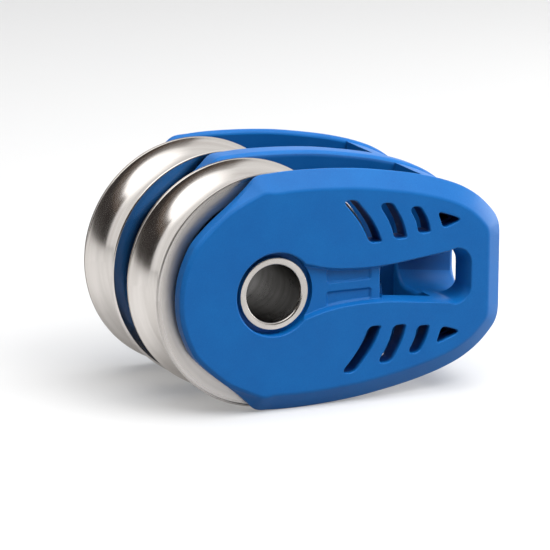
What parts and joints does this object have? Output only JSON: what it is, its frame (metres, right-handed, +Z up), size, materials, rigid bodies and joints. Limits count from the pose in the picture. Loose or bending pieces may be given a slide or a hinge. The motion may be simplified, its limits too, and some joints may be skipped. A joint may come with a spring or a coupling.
{
  "type": "double sheave block",
  "caption": "Small double sheave block: two grooved steel sheaves on a hollow axle between moulded blue cheeks, with windows and head tunnels for a soft lashing.",
  "frame": {"origin": "middle of the hollow axle, on the mid-plane of the middle cheek", "axes": "+X from the axle towards the head, Y along the axle with the front cheek at -Y, +Z up"},
  "size_m": [0.0454, 0.0284, 0.0296],
  "materials": {
    "cheek_moulding": "satin blue glass-filled nylon",
    "sheave_steel": "turned and polished",
    "axle_steel": "turned",
    "head_pin_steel": "ground",
    "race_steel": "ground",
    "ball_steel": "polished",
    "shield_steel": "pressed sheet",
    "cage_resin": "moulded",
    "spacer_resin": "moulded"
  },
  "bodies": {
    "root": {"front_cheek": "cheek_moulding", "middle_cheek": "cheek_moulding", "rear_cheek": "cheek_moulding", "upper_head_pin": "head_pin_steel", "lower_head_pin": "head_pin_steel", "axle_tube": "axle_steel", "front_axle_collar": "axle_steel", "rear_axle_collar": "axle_steel", "front_inner_race": "race_steel", "front_outer_spacer": "spacer_resin", "front_inner_spacer": "spacer_resin", "rear_inner_race": "race_steel", "rear_outer_spacer": "spacer_resin", "rear_inner_spacer": "spacer_resin"},
    "front_sheave_set": {"front_sheave": "sheave_steel", "front_outer_race": "race_steel", "front_outer_shield": "shield_steel", "front_inner_shield": "shield_steel", "front_bearing_clip": "shield_steel"},
    "front_ball_set": {"front_ball_cage": "cage_resin", "front_ball_1": "ball_steel", "front_ball_2": "ball_steel", "front_ball_3": "ball_steel", "front_ball_4": "ball_steel", "front_ball_5": "ball_steel", "front_ball_6": "ball_steel", "front_ball_7": "ball_steel", "front_ball_8": "ball_steel"},
    "rear_sheave_set": {"rear_sheave": "sheave_steel", "rear_outer_race": "race_steel", "rear_outer_shield": "shield_steel", "rear_inner_shield": "shield_steel", "rear_bearing_clip": "shield_steel"},
    "rear_ball_set": {"rear_ball_cage": "cage_resin", "rear_ball_1": "ball_steel", "rear_ball_2": "ball_steel", "rear_ball_3": "ball_steel", "rear_ball_4": "ball_steel", "rear_ball_5": "ball_steel", "rear_ball_6": "ball_steel", "rear_ball_7": "ball_steel", "rear_ball_8": "ball_steel"}
  },
  "joints": [
    {"name": "front_sheave_turn", "type": "hinge", "parent": "root", "child": "front_sheave_set", "pos_m": [0, -0.0069, 0], "axis": [0, 1, 0], "continuous": true},
    {"name": "front_cage_turn", "type": "hinge", "parent": "root", "child": "front_ball_set", "pos_m": [0, -0.0069, 0], "axis": [0, 1, 0], "continuous": true},
    {"name": "rear_sheave_turn", "type": "hinge", "parent": "root", "child": "rear_sheave_set", "pos_m": [0, 0.0069, 0], "axis": [0, 1, 0], "continuous": true},
    {"name": "rear_cage_turn", "type": "hinge", "parent": "root", "child": "rear_ball_set", "pos_m": [0, 0.0069, 0], "axis": [0, 1, 0], "continuous": true}
  ],
  "couplings": [
    {"joint": "front_cage_turn", "follows": "front_sheave_turn", "ratio": 0.5873},
    {"joint": "rear_cage_turn", "follows": "rear_sheave_turn", "ratio": 0.5873}
  ]
}
